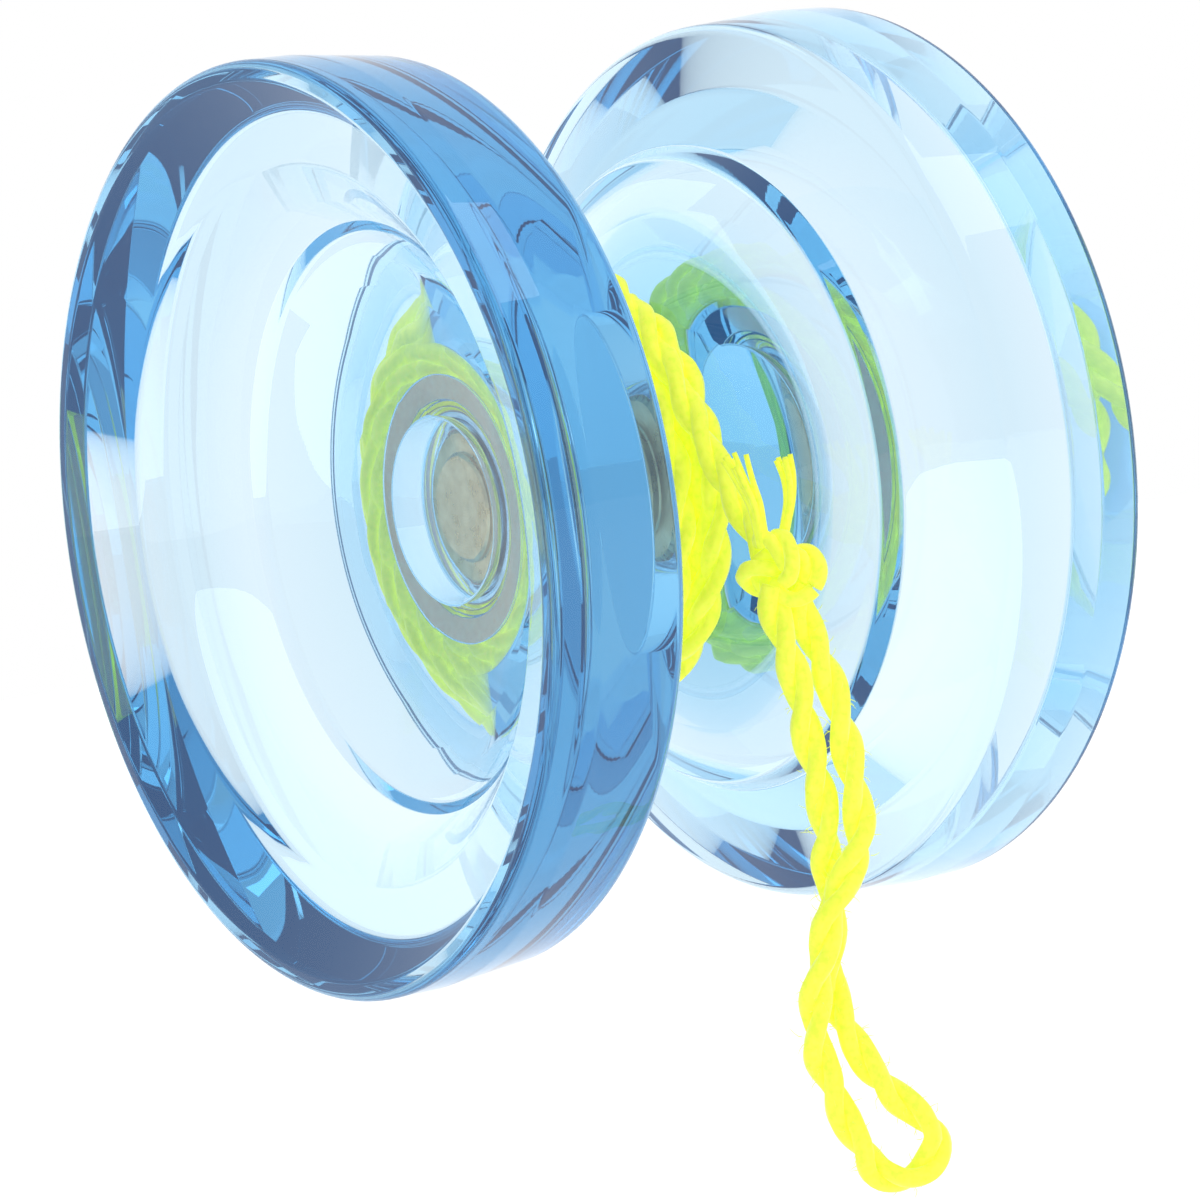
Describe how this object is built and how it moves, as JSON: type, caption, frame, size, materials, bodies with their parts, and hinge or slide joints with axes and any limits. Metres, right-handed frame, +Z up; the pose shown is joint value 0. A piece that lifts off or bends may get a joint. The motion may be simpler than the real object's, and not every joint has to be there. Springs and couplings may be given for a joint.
{
  "type": "ball-bearing yo-yo",
  "caption": "Clear wide-gap yo-yo: two cupped halves on a threaded axle, a ball bearing between them, and a wound string with a finger loop.",
  "frame": {"origin": "middle of the axle, on the spin axis and in the middle plane between the halves; the string holds the part there through the bearing", "axes": "+Y along the spin axis towards the right half, +Z up, +X towards the hanging end of the string"},
  "size_m": [0.056, 0.0422, 0.0711],
  "materials": {
    "clear_blue_polycarbonate": "clear tinted, polished",
    "brass": "turned, knurled side",
    "aluminium": "turned",
    "tan_silicone": "matt silicone",
    "shield_steel": "stamped sheet",
    "spring_steel": "drawn wire",
    "dark_steel": "threaded, oiled",
    "bearing_steel": "ground and polished",
    "cage_polyamide": "moulded",
    "yellow_polyester": "spun yarn, two plies twisted"
  },
  "bodies": {
    "string_side": {"bearing_outer_ring": "bearing_steel", "bearing_shield_left": "shield_steel", "bearing_shield_right": "shield_steel", "snap_ring_left": "spring_steel", "snap_ring_right": "spring_steel", "string_coil": "yellow_polyester", "string_lead": "yellow_polyester", "string_knot": "yellow_polyester", "string_tail_1": "yellow_polyester", "string_tail_2": "yellow_polyester", "finger_loop": "yellow_polyester"},
    "spool": {"half_left": "clear_blue_polycarbonate", "half_right": "clear_blue_polycarbonate", "axle": "dark_steel", "insert_left": "brass", "insert_right": "brass", "spacer_left": "aluminium", "spacer_right": "aluminium", "response_pad_left": "tan_silicone", "response_pad_right": "tan_silicone", "bearing_inner_ring": "bearing_steel"},
    "cage": {"bearing_cage": "cage_polyamide"},
    "ball_1": {"bearing_ball_1": "bearing_steel"},
    "ball_2": {"bearing_ball_2": "bearing_steel"},
    "ball_3": {"bearing_ball_3": "bearing_steel"},
    "ball_4": {"bearing_ball_4": "bearing_steel"},
    "ball_5": {"bearing_ball_5": "bearing_steel"},
    "ball_6": {"bearing_ball_6": "bearing_steel"},
    "ball_7": {"bearing_ball_7": "bearing_steel"},
    "ball_8": {"bearing_ball_8": "bearing_steel"}
  },
  "joints": [
    {"name": "spool_spin", "type": "hinge", "parent": "string_side", "child": "spool", "pos_m": [0, 0, 0], "axis": [0, 1, 0], "continuous": true},
    {"name": "cage_spin", "type": "hinge", "parent": "string_side", "child": "cage", "pos_m": [0, 0, 0], "axis": [0, 1, 0], "continuous": true},
    {"name": "ball_1_spin", "type": "hinge", "parent": "cage", "child": "ball_1", "pos_m": [0.00476, 0, 0], "axis": [0, 1, 0], "continuous": true},
    {"name": "ball_2_spin", "type": "hinge", "parent": "cage", "child": "ball_2", "pos_m": [0.00337, 0, 0.00337], "axis": [0, 1, 0], "continuous": true},
    {"name": "ball_3_spin", "type": "hinge", "parent": "cage", "child": "ball_3", "pos_m": [0, 0, 0.00476], "axis": [0, 1, 0], "continuous": true},
    {"name": "ball_4_spin", "type": "hinge", "parent": "cage", "child": "ball_4", "pos_m": [-0.00337, 0, 0.00337], "axis": [0, 1, 0], "continuous": true},
    {"name": "ball_5_spin", "type": "hinge", "parent": "cage", "child": "ball_5", "pos_m": [-0.00476, 0, 0], "axis": [0, 1, 0], "continuous": true},
    {"name": "ball_6_spin", "type": "hinge", "parent": "cage", "child": "ball_6", "pos_m": [-0.00337, 0, -0.00337], "axis": [0, 1, 0], "continuous": true},
    {"name": "ball_7_spin", "type": "hinge", "parent": "cage", "child": "ball_7", "pos_m": [0, 0, -0.00476], "axis": [0, 1, 0], "continuous": true},
    {"name": "ball_8_spin", "type": "hinge", "parent": "cage", "child": "ball_8", "pos_m": [0.00337, 0, -0.00337], "axis": [0, 1, 0], "continuous": true}
  ],
  "couplings": [
    {"joint": "cage_spin", "follows": "spool_spin", "ratio": 0.41664},
    {"joint": "ball_1_spin", "follows": "spool_spin", "ratio": -2.9166},
    {"joint": "ball_2_spin", "follows": "spool_spin", "ratio": -2.9166},
    {"joint": "ball_3_spin", "follows": "spool_spin", "ratio": -2.9166},
    {"joint": "ball_4_spin", "follows": "spool_spin", "ratio": -2.9166},
    {"joint": "ball_5_spin", "follows": "spool_spin", "ratio": -2.9166},
    {"joint": "ball_6_spin", "follows": "spool_spin", "ratio": -2.9166},
    {"joint": "ball_7_spin", "follows": "spool_spin", "ratio": -2.9166},
    {"joint": "ball_8_spin", "follows": "spool_spin", "ratio": -2.9166}
  ]
}
